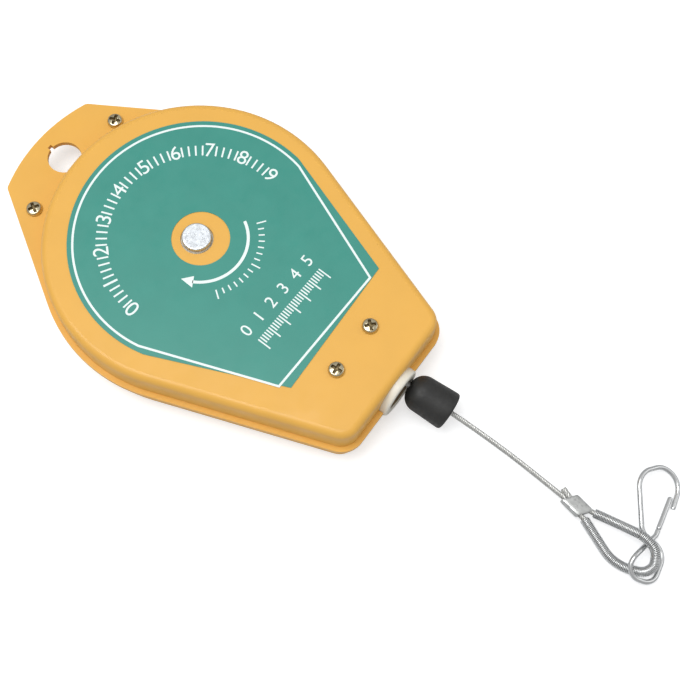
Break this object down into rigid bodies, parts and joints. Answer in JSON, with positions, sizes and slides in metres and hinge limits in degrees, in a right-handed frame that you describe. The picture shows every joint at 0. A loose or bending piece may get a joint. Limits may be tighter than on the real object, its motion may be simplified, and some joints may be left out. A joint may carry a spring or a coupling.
{
  "type": "tool balancer",
  "caption": "Spring tool balancer: pressed two-shell case with a hanger tab, wire rope on a sprung drum, rubber stopper, crimped rope eye and a wire snap hook",
  "frame": {"origin": "Under the middle of the case, which lies on its flat back; Z is 0 on the rear face, so the label looks up", "axes": "+X is right seen from the label side, +Y toward the hanger hole, +Z out of the label face"},
  "size_m": [0.136, 0.3265, 0.0325],
  "materials": {
    "yellow_paint": "satin",
    "printed_label": "satin",
    "zinc": "satin",
    "bright_steel": "polished",
    "dark_steel": "satin",
    "spring_steel": "satin",
    "cast_aluminium": "matte",
    "bearing_plastic": "matte",
    "cream_plastic": "gloss",
    "wire_rope": "satin",
    "ferrule_metal": "satin",
    "black_rubber": "matte"
  },
  "bodies": {
    "case": {"front_shell": "yellow_paint", "rear_shell": "yellow_paint", "label_plate": "printed_label", "tab_screws": "zinc", "tab_nuts": "zinc", "lower_screws": "zinc", "standoff_pillars": "zinc", "pawl_leaf": "spring_steel", "pawl_rivets": "zinc", "rear_thrust_washer": "bearing_plastic", "front_spacer": "bearing_plastic", "guide_bush": "cream_plastic", "rope_inner_run": "wire_rope"},
    "arbor": {"arbor_shaft": "bright_steel", "ratchet_wheel": "dark_steel", "retaining_clip": "dark_steel"},
    "drum": {"rope_drum": "cast_aluminium", "drum_cover": "cast_aluminium", "drum_cover_screws": "zinc", "drum_bush_rear": "bearing_plastic", "drum_bush_front": "bearing_plastic", "mainspring": "spring_steel", "rope_on_drum": "wire_rope", "rope_anchor": "ferrule_metal"},
    "rope_end": {"rope_outer": "wire_rope", "stopper": "black_rubber", "ferrule": "ferrule_metal", "rope_loop": "wire_rope", "guard_spring": "bright_steel"},
    "hook": {"clip_hook": "bright_steel"},
    "gate": {"clip_gate": "bright_steel"}
  },
  "joints": [
    {"name": "drum_spin", "type": "hinge", "parent": "case", "child": "drum", "pos_m": [0, 0.008, 0.015], "axis": [0, 0, 1], "range_deg": [0, 1375], "stiffness_Nm_per_rad": 0.027, "springref_deg": -2578.31, "deforming": ["mainspring", "rope_on_drum"]},
    {"name": "rope_pull", "type": "slide", "parent": "case", "child": "rope_end", "axis": [0, -1, 0], "range_m": [0, 1.2], "deforming": ["rope_outer"]},
    {"name": "tension_adjust", "type": "hinge", "parent": "case", "child": "arbor", "pos_m": [0, 0.008, 0.015], "axis": [0, 0, -1], "range_deg": [0, 1800], "deforming": ["mainspring", "pawl_leaf"]},
    {"name": "hook_swing", "type": "hinge", "parent": "rope_end", "child": "hook", "pos_m": [0.01026, -0.218, 0.00992], "axis": [-0.2779, -0.1239, 0.9526], "range_deg": [0, 38]},
    {"name": "gate_open", "type": "hinge", "parent": "hook", "child": "gate", "pos_m": [0.01925, -0.21698, 0.00441], "axis": [0.138, -0.3489, 0.9269], "range_deg": [0, 14], "stiffness_Nm_per_rad": 0.02, "springref_deg": -2.86}
  ],
  "couplings": [
    {"joint": "rope_pull", "follows": "drum_spin", "m_per_rad": 0.05}
  ]
}
